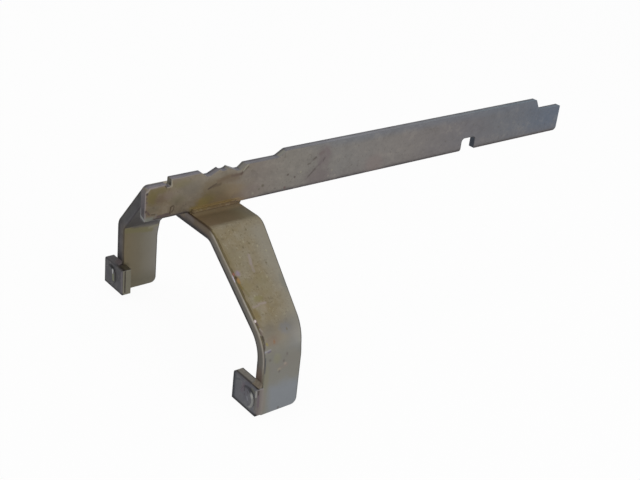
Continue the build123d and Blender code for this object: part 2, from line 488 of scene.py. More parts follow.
RAIL_STROKES = [
    (34.3, 10.2, 38.6, 12.0, 0.45, tone(70, 56, 46), 0.85),
    (37.2, 11.0, 41.0, 11.4, 0.7, tone(88, 74, 56), 0.8),
    (39.5, 13.0, 46.0, 14.6, 0.8, tone(100, 84, 64), 0.7),
    (47.5, 14.4, 53.2, 14.6, 0.7, tone(92, 76, 64), 0.85),
    (52.6, 14.6, 56.4, 17.8, 0.55, tone(82, 68, 58), 0.9),
    (54.0, 16.0, 56.6, 18.9, 0.5, tone(146, 144, 128), 0.7),
    (51.0, 16.6, 54.0, 17.0, 0.5, tone(128, 124, 106), 0.6),
    (97.0, 14.1, 98.6, 15.0, 0.55, tone(80, 72, 66), 0.8),
    (93.8, 12.0, 95.0, 12.4, 0.5, tone(86, 78, 70), 0.75),
    (95.2, 12.8, 97.0, 14.0, 0.4, tone(102, 96, 90), 0.6),
    (101.0, 16.4, 103.0, 17.2, 0.9, tone(104, 92, 90), 0.7),
    (105.2, 18.4, 107.2, 15.6, 1.1, tone(108, 98, 98), 0.6),
    (104.4, 14.0, 101.2, 10.8, 0.8, tone(102, 92, 92), 0.7),
    (104.2, 13.6, 103.6, 12.2, 0.45, tone(82, 74, 72), 0.7),
    (100.8, 10.4, 98.8, 9.0, 0.6, tone(96, 88, 86), 0.6),
    (98.6, 8.6, 94.6, 5.2, 0.5, tone(84, 76, 72), 0.8),
    (94.6, 5.2, 93.4, 3.8, 0.4, tone(98, 90, 86), 0.6),
    # The next six strokes are painted highlights along the fork end's top, near and lower edges.
    (3.0, 16.5, 6.4, 16.6, 0.35, tone(140, 132, 130), 0.9),
    (6.4, 16.6, 10.8, 16.6, 0.3, tone(132, 122, 118), 0.7),
    (0.4, 14.4, 2.4, 16.4, 0.4, tone(150, 144, 138), 0.9),
    (0.1, 14.0, 0.1, 6.4, 0.4, tone(134, 124, 126), 0.85),
    (0.1, 4.0, 0.2, 0.8, 0.5, tone(132, 126, 128), 0.85),
    (0.6, 0.9, 3.6, 1.1, 1.1, tone(122, 125, 116), 0.85),
    (5.4, 1.4, 6.2, 2.6, 0.5, tone(112, 108, 106), 0.6),
    (13.8, 19.0, 13.8, 15.7, 0.45, tone(152, 148, 128), 0.9),
    (11.2, 15.3, 13.6, 15.3, 0.35, tone(142, 134, 116), 0.8),
    # Painted shade in the relief's gap.
    (10.6, 16.2, 11.0, 15.6, 0.4, tone(60, 52, 44), 0.8),
    (14.2, 18.8, 24.0, 18.9, 0.4, tone(124, 118, 110), 0.8),
    (1.5, 4.6, 2.4, 3.4, 0.4, tone(76, 58, 60), 0.8),
    (3.6, 3.2, 5.4, 3.0, 0.35, tone(70, 60, 44), 0.8),
    (7.0, 1.5, 13.4, 1.7, 0.6, tone(80, 64, 66), 0.85),
    (13.4, 1.6, 13.8, 4.8, 0.4, tone(64, 50, 32), 0.85),
    (14.2, 5.2, 15.2, 5.4, 0.3, tone(66, 54, 38), 0.8),
    (15.6, 5.0, 15.4, 3.4, 0.3, tone(78, 66, 50), 0.7),
    (14.4, 2.4, 15.0, 3.0, 0.35, tone(70, 58, 42), 0.75),
]
# Painted highlights along the back and lower edges of the rail's fork end.
RAIL_END_HIGHLIGHTS = [
    (1.9, 6.0, 1.6, 2.4, 0.4, tone(126, 126, 128)),
    (1.3, 1.8, -1.6, 0.8, 0.6, tone(130, 132, 130)),
]
RAIL_DOTS = [
    (0.9, 14.0, 0.65, tone(56, 44, 42), 0.9),
    (0.9, 11.8, 0.45, tone(80, 68, 62), 0.7),
    (0.9, 9.7, 0.5, tone(78, 64, 66), 0.7),
    (0.6, 5.3, 0.6, tone(62, 42, 50), 0.9),
    (4.6, 6.4, 0.6, tone(86, 76, 58), 0.6),
    (11.2, 15.0, 0.4, tone(84, 74, 52), 0.6),
    (81.5, 8.7, 0.6, tone(80, 70, 64), 0.8),
    (85.9, 6.6, 0.6, tone(80, 70, 64), 0.8),
    (66.2, 5.7, 0.8, tone(84, 78, 62), 0.7),
    (64.0, 4.2, 0.6, tone(92, 88, 72), 0.7),
    (80.0, 1.9, 0.7, tone(96, 72, 70), 0.8),
    (74.0, 2.6, 0.5, tone(92, 84, 78), 0.6),
    (60.5, 2.6, 0.6, tone(138, 134, 118), 0.6),
    (89.6, 8.7, 0.6, tone(142, 138, 120), 0.6),
    (110.0, 6.0, 0.6, tone(136, 132, 116), 0.6),
    (108.0, 3.2, 0.5, tone(138, 130, 122), 0.6),
    (112.5, 2.8, 0.5, tone(138, 130, 122), 0.6),
    (118.0, 12.0, 0.5, tone(96, 90, 86), 0.5),
    (150.0, 9.0, 0.5, tone(96, 90, 86), 0.5),
]
print("rail washes, strokes, dots:", len(RAIL_WASHES), len(RAIL_STROKES), len(RAIL_DOTS))

# %% [markdown]
# The washes go right through the plate, because heat and grease reach both of its sides. The
# strokes and dots stay on the near side. Plating wears thin along the edges that are handled, and
# the broken edges that face the lamp carry a painted highlight on top of that wear, brightest at
# the fork end. The long lower edge and the broken edges that face down or away are painted dark as
# shade.

# %% Dress the rail
NEAR_SIDE_Y = -2.0


def rail_marks(finish, coat):
    """The washes, strokes and dots of the rail's side."""
    for x, z, long, high, colour, amount in RAIL_WASHES:
        coat.lay(finish.mark((x, 0, z), (long, 9, high), soft=0.5), colour, amount)
    for x, z, end_x, end_z, width, colour, amount in RAIL_STROKES:
        ends = (x, NEAR_SIDE_Y, z), (end_x, NEAR_SIDE_Y, end_z)
        coat.lay(finish.stroke(*ends, width, soft=0.7, ragged=1.6), colour, amount)
    for x, z, size, colour, amount in RAIL_DOTS:
        spot = finish.mark((x, NEAR_SIDE_Y, z), (size, 0.8, size))
        coat.lay(spot, colour, amount, dent=0.5)


def rail_walls(finish, coat):
    """The narrow top with its ramp and painted shade on its far half, the walls of the relief and
    the slot painted dark as shade, and the fork end with painted highlights on its edges.
    """
    upward = finish.nz.ramp(0.6, 0.9)
    coat.lay(upward, finish.along(finish.x, RAIL_TOP_ALONG), 0.9)
    backward = finish.nx.ramp(-0.6, -0.9)
    ramp = upward * finish.nx.ramp(-0.38, -0.5)
    coat.lay(ramp, tone(120, 118, 106), 0.75)
    # Painted shade on the far half of the narrow top, which turns away from the light.
    far_half_shade = upward * finish.y.ramp(-0.4, 1.0)
    coat.lay(far_half_shade, tone(50, 49, 54), 0.72)
    # Painted shade on the walls that face back along the rail past X 13, the relief's wall first
    # among them.
    relief_wall_shade = backward * finish.x.ramp(10.0, 13.0)
    coat.lay(relief_wall_shade, tone(72, 70, 62), 0.85)
    # Darker, bluer painted shade on those walls past X 200, in the slot.
    slot_wall_shade = backward * finish.x.ramp(180.0, 200.0)
    coat.lay(slot_wall_shade, tone(56, 62, 72), 0.9)
    fork_end = backward * finish.x.ramp(1.0, 0.5)
    coat.lay(fork_end, finish.along(finish.z, RAIL_END_UP), 0.92)
    pit = finish.mark((0, -0.4, 5.1), (0.5, 0.9, 1.6), soft=0.3)
    coat.lay(pit, tone(52, 46, 50), 0.85)
    # Painted highlights on the fork end's edges.
    for y, z, end_y, end_z, width, colour in RAIL_END_HIGHLIGHTS:
        coat.lay(finish.stroke((0, y, z), (0, end_y, end_z), width), colour, 0.8)


def rail_broken_edges(finish, coat):
    """The long edges that are broken at a slant: painted shade below and behind, and bright in
    front, a painted highlight with wear.
    """
    broken = abs(finish.ny).band(0.3, 0.93, 0.1)
    # Painted shade on the broken edges that face down and on those that face away.
    coat.lay(broken * finish.nz.ramp(-0.1, -0.4), tone(54, 46, 46), 0.85)
    coat.lay(broken * finish.ny.ramp(0.1, 0.4), tone(58, 54, 62), 0.85)
    # Painted highlight with wear on the broken edges that face the lamp, brightest near the fork
    # end.
    worn_and_lit = broken * finish.ny.ramp(-0.1, -0.4) * finish.nz.ramp(-0.3, 0.0)
    coat.lay(worn_and_lit * finish.x.ramp(60.0, 20.0), tone(132, 124, 120), 0.6, rough=0.3)
    coat.lay(worn_and_lit * finish.x.ramp(20.0, 60.0), tone(108, 108, 112), 0.5)


def rail_finish():
    """The rail's zinc: tints along it, darker towards its lower edge with painted shade on the
    edge itself, cloud, specks, marks and edges.
    """
    finish = Finish("rail_zinc")
    cloud = finish.noise(18.0, detail=4.0, rough=0.6, stretch=(1.6, 1, 1), seed=3.0)
    colour = finish.along(finish.x + (cloud - 0.5) * 40.0, RAIL_ALONG)
    coat = Coat(finish, colour, finish.noise(6.0, seed=5.0) * 0.3 + 0.27, metal=0.6)
    warm_below = finish.z.ramp(8.0, 0.0) * finish.x.ramp(60.0, 110.0)
    coat.lay(warm_below, tone(104, 98, 96), 0.4)
    cool_above = finish.z.ramp(17.0, 21.5) * finish.x.ramp(80.0, 130.0)
    coat.lay(cool_above, tone(101, 106, 115), 0.6)
    # Darker towards the lower edge, more so past X 62; the near-black band below Z 1.2 is painted
    # shade on the rounded lower edge.
    coat.lay(finish.z.ramp(2.2, 0.8), tone(92, 86, 85), 0.45)
    coat.lay(finish.z.ramp(2.4, 0.8) * finish.x.ramp(62.0, 76.0), tone(74, 69, 70), 0.5)
    coat.lay(finish.z.ramp(1.2, 0.5), tone(46, 40, 42), 0.9)
    coat.mottle(4.5, 0.16, 7.0, stretch=(1.4, 1, 1))
    coat.mottle(1.5, 0.10, 8.0)
    coat.specks(1.2, 11.0, tone(78, 70, 60), 0.3)
    rail_marks(finish, coat)
    rail_walls(finish, coat)
    rail_broken_edges(finish, coat)
    return coat.finished()


rail_zinc = rail_finish()
print("rail nodes:", len(rail_zinc.node_tree.nodes))

# %% [markdown]
# The strap is yellower than the rail. Its roof beside the rail is browned by the weld, the outer
# side of the near arm is olive with fine specks and a few pinkish scuffs, and its foot runs to a
# cold blue. The far leg shows its inner side, which is duller, with a dark border of painted shade
# below the bend. The undersides, the far incline's middle and the far leg just above its pad are
# painted dark as shade.
#
# The arm slopes, so its patches and strokes are placed in three measures, X, Y and Z. Its small
# spots go right down through the slope and are placed by X and Y. The marks of the two legs lie on
# upright faces and are placed by X and Z, but for the strokes that run over the near leg's knee.

# %% List the strap's marks
ARM_PATCHES = [
    ((26.3, -40.8, -14.4), (1.15, 1.1, 2), tone(136, 122, 134), 0.85),
    ((37.0, -64.8, -32.6), (2.8, 2.0, 4), tone(108, 109, 112), 0.55),
    ((26.2, -57.6, -27.0), (1.6, 2.6, 4), tone(118, 103, 66), 0.7),
    ((30.5, -52.0, -22.8), (2.4, 1.2, 3), tone(118, 112, 72), 0.6),
    ((28.0, -46.5, -18.6), (2.4, 3.4, 4), tone(122, 112, 80), 0.6),
    ((36.5, -47.0, -19.0), (3.4, 5.0, 5), tone(126, 118, 92), 0.5),
    ((29.2, -67.0, -36.4), (3.6, 2.0, 2.4), tone(103, 90, 77), 0.6),
    ((29.7, -67.4, -37.0), (0.55, 0.9, 0.8), tone(112, 82, 60), 0.8),
    ((27.5, -34.5, -9.4), (4.4, 4.4, 5), tone(118, 107, 78), 0.4),
    ((24.1, -40.6, -14.0), (0.45, 0.65, 1.5), tone(140, 88, 78), 0.8),
    ((24.5, -42.2, -15.3), (0.6, 0.7, 1.5), tone(64, 44, 28), 0.9),
    ((25.0, -43.6, -16.4), (0.7, 1.2, 2), tone(146, 112, 66), 0.8),
    ((24.9, -46.0, -18.2), (0.5, 1.6, 2), tone(110, 94, 48), 0.8),
    ((47.2, -49.0, -20.5), (1.5, 4.0, 4), tone(114, 115, 108), 0.6),
    ((31.0, -55.8, -25.7), (1.7, 1.7, 3), tone(144, 134, 117), 0.5),
    ((23.85, -59.7, -28.7), (0.5, 0.6, 0.8), tone(214, 200, 200), 0.9),
]
ARM_STROKES = [
    ((36.0, -35.2, -10.0), (35.2, -38.4, -12.4), 0.7, tone(142, 131, 126), 0.7),
    ((35.0, -38.6, -12.6), (34.8, -41.6, -14.9), 0.6, tone(138, 127, 120), 0.6),
    ((26.2, -54.6, -24.8), (29.2, -54.4, -24.6), 0.55, tone(142, 130, 122), 0.7),
    ((29.6, -54.0, -24.3), (33.0, -54.2, -24.5), 0.5, tone(146, 134, 128), 0.7),
    # Painted highlight on the near arm's front edge.
    ((23.7, -40.4, -15.2), (23.7, -42.4, -17.0), 0.35, tone(204, 198, 218), 0.9),
    ((24.1, -60.6, -29.4), (24.3, -61.4, -30.0), 0.35, tone(86, 70, 76), 0.7),
    ((24.5, -63.0, -31.2), (26.0, -65.8, -33.2), 0.4, tone(142, 131, 126), 0.65),
    ((24.0, -64.0, -32.2), (24.8, -67.4, -35.4), 0.4, tone(96, 82, 80), 0.75),
    ((25.2, -46.5, -18.6), (26.6, -50.0, -21.2), 0.5, tone(106, 98, 62), 0.5),
    ((24.3, -65.4, -33.9), (24.4, -67.3, -36.8), 0.4, tone(50, 42, 28), 0.85),
    ((24.3, -67.5, -37.2), (23.9, -68.3, -39.0), 0.4, tone(62, 52, 48), 0.8),
    ((25.5, -67.4, -37.0), (25.8, -67.7, -37.5), 0.5, tone(118, 108, 60), 0.75),
]
ARM_DARK_SPOTS = [
    (34.0, -24.0),
    (35.0, -31.6),
    (40.8, -25.0),
    (32.8, -47.6),
    (39.0, -30.6),
    (38.0, -65.2),
    (43.0, -39.6),
]
ARM_LIGHT_SPOTS = [
    (42.6, -32.3),
    (31.0, -35.0),
    (36.5, -29.5),
    (29.4, -50.6),
    (40.0, -45.0),
    (46.0, -35.0),
]
LEG_TINTS = [
    (25.0, -54.0, 1.6, 7.0, tone(118, 114, 96), 0.7),
    (24.6, -67.5, 1.2, 5.0, tone(122, 112, 104), 0.5),
    (30.4, -44.8, 2.0, 2.4, tone(120, 118, 98), 0.7),
]
LEG_STROKES = [
    ((23.5, -69.1, -41.1), (24.1, -68.8, -40.2), 0.4, tone(130, 128, 136), 0.6),
    ((24.2, -68.8, -40.2), (27.0, -68.7, -39.8), 0.38, tone(130, 128, 136), 0.5),
    ((23.95, -69.6, -43.0), (23.9, -70.0, -51.0), 0.3, tone(66, 66, 74), 0.6),
    ((25.6, -69.0, -40.7), (27.0, -68.9, -40.5), 0.4, tone(88, 80, 94), 0.75),
    ((32.4, -70.0, -50.4), (36.4, -70.0, -49.6), 0.9, tone(126, 114, 106), 0.35),
]
LEG_LIGHT_SPOTS = [
    (32.0, -51.0, 1.0, 0.8, tone(142, 134, 118), 0.6),
    (35.2, -48.8, 0.8, 0.7, tone(146, 132, 122), 0.7),
]
LEG_DOTS = [(26.4, -44.6), (36.0, -44.0), (34.2, -47.1), (32.2, -52.0), (33.6, -72.6)]
FAR_LEG_STROKES = [
    (25, -36.4, 40, -38.6, 1.5, 0.5, tone(114, 109, 78), 0.7),
    # Painted shade as a dark border below the far leg's bend.
    (30, -33.9, 45, -35.0, 1.8, 0.6, tone(80, 77, 77), 0.8),
    (39, -37.6, 45, -36.9, 0.6, 0.5, tone(132, 128, 108), 0.7),
]
ROOF_ALONG = {
    24: tone(112, 94, 72),
    34: tone(105, 91, 68),
    40: tone(106, 93, 71),
    46: tone(114, 106, 84),
    51: tone(120, 115, 101),
}
ARM_CLOUD = {0.3: tone(124, 112, 86), 0.5: tone(129, 120, 100), 0.7: tone(134, 127, 108)}
FAR_LEG_ALONG = {
    24: tone(114, 103, 80),
    33: tone(113, 106, 90),
    40: tone(121, 117, 107),
    45: tone(126, 123, 118),
}
LEG_UP = {
    -60: tone(117, 117, 112),
    -47: tone(116, 114, 108),
    -42: tone(110, 109, 103),
    -38: tone(102, 99, 91),
    -33: tone(110, 103, 91),
}
print("arm patches and strokes:", len(ARM_PATCHES), len(ARM_STROKES))

# %% [markdown]
# The strap's front edge changes with the depth under its outer skin: dark on the rounded corner,
# then a bright line of painted highlight with wear where the rounding meets the light, then grey
# that darkens towards the inner side as painted shade. The roof, the near arm, its leg, the far
# arm and its leg each have their own run of tones for it, and the far arm's and far leg's runs are
# mostly dark, painted shade on edges that the light misses.
#
# That depth follows the bends. It is worked out as the least of the depths under the strap's five
# flats, and where two flats meet in a bend a smooth minimum rounds the corner as the bend does. A
# flat is given by a Y and a Z on it, the angle in which it faces, in degrees from +Y up to +Z, and
# how widely its corner with the flat before it is rounded.
#
# The back edge is painted dark as shade, and so is a thin line of the skin beside it. The strap
# tapers, so that line is found from the X that a point would have on a strap without the taper.

# %% Dress the strap
NEAR_LEG_Y = -70.0
FAR_LEG_Y = 56.8
FRONT_X = 23.7
ROOF_BACK_X = 52.3
TAPER_FOOT_Z = -42.4
TAPER_PER_MM = 7.8 / 42.4
SKIN_FLATS = [
    (NEAR_LEG_Y, -50.0, 180.0, 0.0),
    (-22.1, 0.0, 127.3, 13.7),
    (0.0, 0.0, 90.0, 3.8),
    (36.6, 0.0, 39.0, 7.0),
    (63.2, -50.0, 0.0, 2.8),
]
# Dark from 4.7 mm in: painted shade at the roof edge's inner side.
ROOF_EDGE = {
    0.0: tone(78, 64, 48),
    0.5: tone(64, 48, 31),
    1.2: tone(85, 69, 51),
    1.9: tone(96, 83, 64),
    3.2: tone(93, 80, 66),
    4.1: tone(72, 60, 51),
    4.7: tone(36, 28, 28),
    5.4: tone(17, 13, 17),
}
# Bright at 1.1 to 1.6 mm: painted highlight with wear on the rounding. Dark from 4.6 mm in:
# painted shade towards the inner side.
NEAR_EDGE = {
    0.0: tone(88, 78, 48),
    0.5: tone(102, 92, 68),
    1.1: tone(166, 158, 144),
    1.6: tone(154, 146, 134),
    2.1: tone(119, 111, 100),
    2.8: tone(102, 97, 90),
    4.2: tone(97, 94, 88),
    4.6: tone(74, 71, 67),
    5.1: tone(34, 32, 32),
    6.3: tone(22, 20, 22),
}
# Bright at 1.1 mm: painted highlight with wear on the rounding. Dark from 4.8 mm in: painted shade
# towards the inner side.
LEG_EDGE = {
    0.0: tone(92, 88, 82),
    0.6: tone(106, 101, 94),
    1.1: tone(162, 155, 145),
    1.7: tone(110, 105, 97),
    2.6: tone(90, 86, 79),
    4.2: tone(96, 93, 87),
    4.8: tone(70, 67, 63),
    5.4: tone(32, 30, 30),
    6.3: tone(20, 19, 20),
}
# Dark throughout: painted shade on the far arm's front edge, darkest at its rounded corner.
FAR_EDGE_SHADED = {
    0.9: tone(14, 13, 15),
    1.4: tone(38, 37, 39),
    1.9: tone(57, 56, 58),
    4.4: tone(55, 54, 57),
    6.3: tone(70, 67, 70),
}
# Mostly dark: painted shade on the far leg's front edge, darkest at its rounded corner.
FAR_LEG_EDGE_SHADED = {
    0.9: tone(14, 11, 12),
    1.7: tone(26, 22, 24),
    2.4: tone(44, 39, 40),
    3.2: tone(65, 59, 59),
    5.0: tone(66, 59, 55),
    6.3: tone(88, 80, 68),
}
FRONT_STROKES = [
    (-0.5, -1.6, -6, -2.0, 1.2, 0.8, tone(94, 87, 88), 0.6),
    (0, -3.9, -5, -4.2, 1.0, 0.8, tone(54, 49, 48), 0.5),
    (-22, -7.2, -27, -10.6, 1.0, 0.8, tone(82, 78, 80), 0.6),
    # Painted shade on the far incline's front edge.
    (41.5, -12.5, 46.5, -18.5, 3.0, 0.8, tone(42, 41, 44), 0.5),
    # Painted highlight along the near arm's front edge.
    (-50.0, -22.9, -64.0, -33.6, 0.6, 0.5, tone(170, 164, 152), 0.6),
]
FRONT_PATCHES = [
    (-66.4, -54.5, 3.4, 4.5, tone(96, 78, 66), 0.85),
    # Painted shade on the far leg's front edge above the far pad.
    (60.9, -53.2, 3.4, 4.0, tone(22, 16, 19), 0.85),
]
EDGE_AMOUNT = 0.95


def skin_depth(finish):
    """How far a point lies under the strap's outer skin, seen along the rail."""
    depth = None
    for y, z, facing, bend in SKIN_FLATS:
        angle = math.radians(facing)
        under = (y - finish.y) * math.cos(angle) + (z - finish.z) * math.sin(angle)
        depth = under if depth is None else depth.math("SMOOTH_MIN", under, bend)
    return depth


def strap_skin(finish, coat):
    """The browned roof, painted shade on the undersides, the far incline and the far leg above its
    pad, and the far leg's dull inner side.
    """
    roof = finish.nz.ramp(0.88, 0.97) * finish.y.ramp(-20.5, -17.0) * finish.y.ramp(40.0, 20.0)
    coat.lay(roof, finish.along(finish.x, ROOF_ALONG), 0.92)
    beside_bead = roof * finish.y.ramp(-9.0, -4.6)
    coat.lay(beside_bead, tone(150, 134, 108), 0.8)
    bead_foot = finish.stroke((25, -3.2, 0), (50, -3.2, 0), 0.6)
    coat.lay(bead_foot, tone(104, 86, 60), 0.8)
    # Painted shade on every face that turns down.
    underside_shade = finish.nz.ramp(-0.3, -0.5)
    coat.lay(underside_shade, tone(62, 60, 64), 0.92)
    # Painted shade in the middle of the far incline's inner side.
    incline_shade = finish.mark((34, 48.5, -24.0), (9, 5.0, 6.0), soft=0.6)
    coat.lay(incline_shade, tone(44, 40, 42), 0.6)
    far = finish.y.ramp(52.0, 56.0) * finish.ny.ramp(-0.75, -0.95)
    coat.lay(far, finish.along(finish.x, FAR_LEG_ALONG), 0.92)
    coat.lay(far * finish.z.ramp(-60.0, -69.0), tone(98, 94, 79), 0.6)
    for x, z, end_x, end_z, width, soft, colour, amount in FAR_LEG_STROKES:
        ends = (x, FAR_LEG_Y, z), (end_x, FAR_LEG_Y, end_z)
        coat.lay(finish.stroke(*ends, width, soft=soft), colour, amount)
    # Painted shadow on the far leg just above the far pad's top.
    coat.lay(finish.mark((25.5, FAR_LEG_Y, -57.0), (2.0, 1.5, 1.6)), tone(88, 82, 62), 0.6)


def strap_arm(finish, coat):
    """The patches, strokes and spots of the near arm's outer side, one stroke a painted highlight
    on its front edge, and its greyer right side.
    """
    outer = finish.nz.ramp(0.15, 0.4)
    right = outer * finish.x.ramp(38.0, 48.0) * finish.y.ramp(-20.0, -26.0)
    coat.lay(right, tone(134, 131, 122), 0.6)
    for centre, radii, colour, amount in ARM_PATCHES:
        coat.lay(finish.mark(centre, radii, soft=0.6, ragged=1.4), colour, amount)
    for start, end, width, colour, amount in ARM_STROKES:
        coat.lay(finish.stroke(start, end, width, soft=0.7, ragged=1.8), colour, amount)
    for x, y in ARM_DARK_SPOTS:
        spot = finish.mark((x, y, 0), (0.5, 0.5, 60)) * outer
        coat.lay(spot, tone(92, 84, 62), 0.6, dent=0.5)
    for x, y in ARM_LIGHT_SPOTS:
        spot = finish.mark((x, y, 0), (0.4, 0.45, 60)) * outer
        coat.lay(spot, tone(156, 150, 124), 0.5)


def strap_leg(finish, coat):
    """The near leg: grey-olive at the knee, cold blue at the foot, and its few marks.

    The level is the height with a wave in it, so that no tint ends in a straight line.
    """
    leg = finish.y.ramp(-57.0, -64.0) * finish.ny.ramp(-0.35, -0.55)
    level = finish.z + (finish.noise(8.0, seed=21.0) - 0.5) * 10.0
    coat.lay(leg * level.ramp(-28.0, -34.0), finish.along(level, LEG_UP), 0.9)
    grey = leg * finish.x.ramp(33.0, 43.0) * level.band(-40.0, -30.0, 7.0)
    coat.lay(grey, tone(107, 108, 109), 0.55)
    blue = leg * level.ramp(-55.0, -63.0) * (finish.x + level * 0.1).ramp(18.5, 23.0)
    coat.lay(blue, tone(120, 124, 129), 0.9)
    for x, z, long, high, colour, amount in LEG_TINTS:
        coat.lay(finish.mark((x, NEAR_LEG_Y, z), (long, 2, high), soft=0.6), colour, amount)
    for start, end, width, colour, amount in LEG_STROKES:
        coat.lay(finish.stroke(start, end, width), colour, amount)
    for x, z, long, high, colour, amount in LEG_LIGHT_SPOTS:
        coat.lay(finish.mark((x, NEAR_LEG_Y, z), (long, 1.5, high)), colour, amount)
    for x, z in LEG_DOTS:
        dot = finish.mark((x, NEAR_LEG_Y, z), (0.6, 1.5, 0.7), soft=0.7)
        coat.lay(dot, tone(90, 84, 80), 0.6, dent=0.4)


def strap_front(finish, coat):
    """The front edge by its depth, with its painted highlight and shade, its own marks, some of
    them painted highlight and shade, and the grime beside it on the skin.
    """
    front = finish.nx.ramp(-0.1, -0.4)
    wear = (finish.noise(5.0, detail=4.0, seed=33.0) - 0.5) * 0.6
    depth = skin_depth(finish) + wear
    # The near runs hold a painted highlight on the rounding and painted shade towards the inner
    # side.
    coat.lay(front, finish.along(depth, NEAR_EDGE), EDGE_AMOUNT)
    leg = front * finish.z.ramp(-35.0, -43.0)
    coat.lay(leg, finish.along(depth, LEG_EDGE), EDGE_AMOUNT)
    roof = front * finish.z.ramp(-9.0, -4.0) * finish.y.ramp(-24.0, -19.0)
    coat.lay(roof, finish.along(depth, ROOF_EDGE), EDGE_AMOUNT)
    # The far arm's and far leg's edges are painted dark as shade.
    far = front * finish.y.ramp(15.0, 30.0)
    coat.lay(far, finish.along(depth, FAR_EDGE_SHADED), EDGE_AMOUNT)
    far_leg = front * finish.y.ramp(52.0, 56.0) * finish.z.ramp(-28.0, -36.0)
    coat.lay(far_leg, finish.along(depth, FAR_LEG_EDGE_SHADED), EDGE_AMOUNT)
    for y, z, end_y, end_z, width, soft, colour, amount in FRONT_STROKES:
        ends = (FRONT_X, y, z), (FRONT_X, end_y, end_z)
        coat.lay(finish.stroke(*ends, width, soft=soft), colour, amount)
    for y, z, wide, high, colour, amount in FRONT_PATCHES:
        coat.lay(finish.mark((FRONT_X, y, z), (1.2, wide, high), soft=0.6), colour, amount)
    near_front = finish.x.ramp(27.0, 24.6)
    beside = near_front * finish.y.ramp(-22.0, -26.0) * finish.z.ramp(-38.0, -32.0)
    coat.lay((1.0 - front) * beside, tone(114, 100, 68), 0.5)
    at_front = finish.x.band(23.9, 24.4, 0.3)
    grime = at_front * finish.y.ramp(-6.0, -14.0) * finish.z.ramp(-40.0, -32.0)
    grime = (1.0 - front) * grime
    broken_up = grime * finish.noise(4.0, seed=35.0).ramp(0.35, 0.5)
    coat.lay(broken_up, tone(66, 53, 28), 0.85)


def strap_back(finish, coat):
    """Painted shade: the dark line of the skin beside the back edge, and the back edge itself,
    which faces away from the light.
    """
    untapered_x = finish.x - finish.z.most(TAPER_FOOT_Z) * TAPER_PER_MM
    # Painted shade on a thin line of the skin beside the back edge.
    line = untapered_x.ramp(ROOF_BACK_X - 1.1, ROOF_BACK_X - 0.3)
    coat.lay(line, tone(62, 59, 54), 0.65)
    # Painted shade on the back edge, which faces away from the light.
    coat.lay(finish.nx.ramp(0.0, 0.25), tone(38, 35, 34), 0.92)


def strap_finish():
    """The strap's zinc: olive cloud and specks, then each part of it in turn."""
    finish = Finish("strap_zinc")
    cloud = finish.noise(14.0, detail=4.0, rough=0.6, seed=9.0)
    colour = finish.along(cloud, ARM_CLOUD)
    coat = Coat(finish, colour, finish.noise(5.0, seed=13.0) * 0.3 + 0.3, metal=0.5)
    coat.mottle(3.0, 0.14, 15.0)
    coat.specks(1.0, 17.0, tone(92, 82, 62), 0.4, level=0.62)
    coat.specks(1.1, 19.0, tone(152, 146, 124), 0.3, level=0.63)
    for dress_part in (strap_skin, strap_front, strap_leg, strap_arm, strap_back):
        dress_part(finish, coat)
    return coat.finished()


strap_zinc = strap_finish()
print("strap nodes:", len(strap_zinc.node_tree.nodes))

# %% [markdown]
# The pads run in the sleeve's groove. Their faces are rubbed to a dark, bluish steel. The rim of
# each boss carries a painted highlight on the side that the light finds, with a ring of painted
# shade beyond it, and the pads' edges and tops are painted light and dark by the way they face.
# One material does for both pads: a mark is placed on one of them by its Y, and the two differ as
# the real ones do. The strokes lie at X 20.3 on a pad's front, at 19.5 on its boss and further
# back on its sides; a few of them are painted glints and highlights, and dark borders run along
# the pads' lower and outer edges. A ring has its boss's middle in Y and Z, the radii that it lies
# between, and the side that it is on.

# %% Dress the pads
PAD_FRONT_X = 20.3
PAD_CLOUD = {0.3: tone(80, 79, 88), 0.5: tone(88, 88, 94), 0.7: tone(95, 96, 99)}
